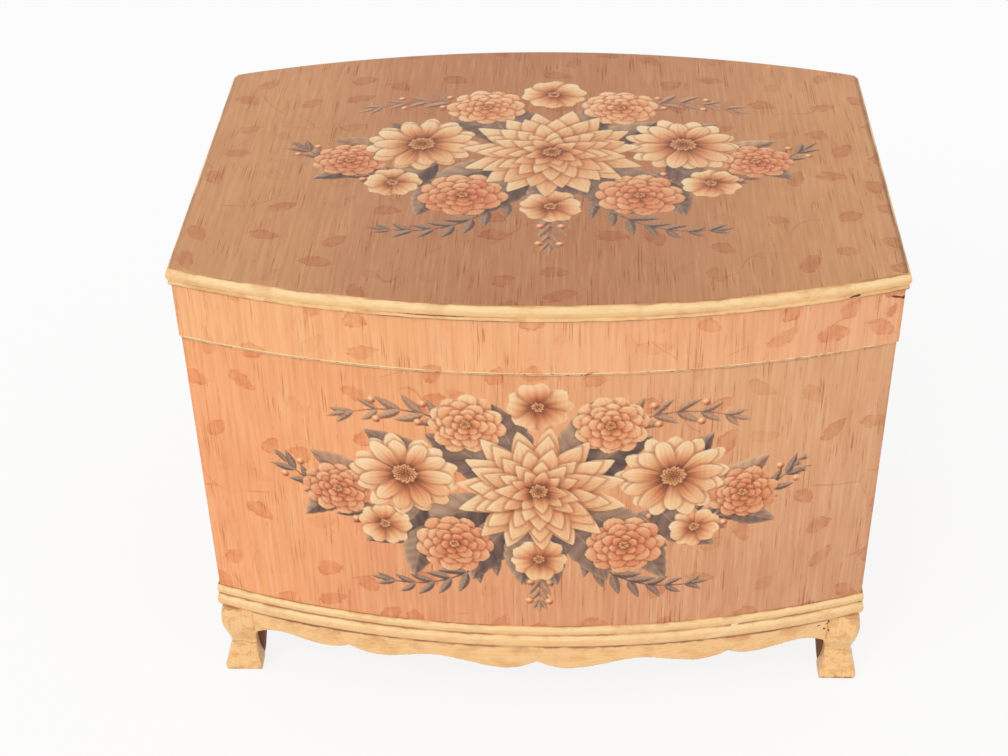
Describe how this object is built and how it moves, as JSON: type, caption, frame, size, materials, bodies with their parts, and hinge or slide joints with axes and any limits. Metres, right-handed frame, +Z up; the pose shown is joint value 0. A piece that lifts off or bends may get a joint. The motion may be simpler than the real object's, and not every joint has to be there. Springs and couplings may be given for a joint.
{
  "type": "storage chest",
  "caption": "Bow-fronted painted wooden chest with a hinged lid, beaded mouldings, scalloped aprons and carved feet, for papers and keepsakes.",
  "frame": {"origin": "on the floor under the middle of the chest", "axes": "X to the right along the width, Y from the front to the hinged back, Z up"},
  "size_m": [0.4648, 0.3535, 0.351],
  "materials": {
    "painted_case": "combed paint in salmon and tan, satin varnish, inner faces bare",
    "painted_trim": "cream paint rubbed with brown in the grooves",
    "bare_wood": "stained, unpainted",
    "brass": "dulled brass"
  },
  "bodies": {
    "chest": {"front_panel": "painted_case", "back_panel": "painted_case", "left_panel": "painted_case", "right_panel": "painted_case", "floor_panel": "bare_wood", "base_moulding_front": "painted_trim", "base_moulding_left": "painted_trim", "base_moulding_right": "painted_trim", "apron_front": "painted_trim", "apron_back": "bare_wood", "apron_left": "painted_trim", "apron_right": "painted_trim", "foot_front_left": "painted_trim", "foot_front_right": "painted_trim", "foot_back_left": "painted_trim", "foot_back_right": "painted_trim", "corner_block_front_left": "bare_wood", "corner_block_front_right": "bare_wood", "corner_block_back_left": "bare_wood", "corner_block_back_right": "bare_wood", "hinge_chest_leaf_left": "brass", "hinge_chest_leaf_right": "brass", "hinge_pin_left": "brass", "hinge_pin_right": "brass", "hinge_screws_chest": "brass"},
    "lid": {"lid_top_panel": "painted_case", "lid_front_side": "painted_case", "lid_back_side": "painted_case", "lid_left_side": "painted_case", "lid_right_side": "painted_case", "lid_moulding_front": "painted_trim", "lid_moulding_left": "painted_trim", "lid_moulding_right": "painted_trim", "hinge_lid_leaf_left": "brass", "hinge_lid_leaf_right": "brass", "hinge_screws_lid": "brass"}
  },
  "joints": [
    {"name": "lid_hinge", "type": "hinge", "parent": "chest", "child": "lid", "pos_m": [0, 0.1754, 0.2985], "axis": [-1, 0, 0], "range_deg": [0, 100]}
  ]
}
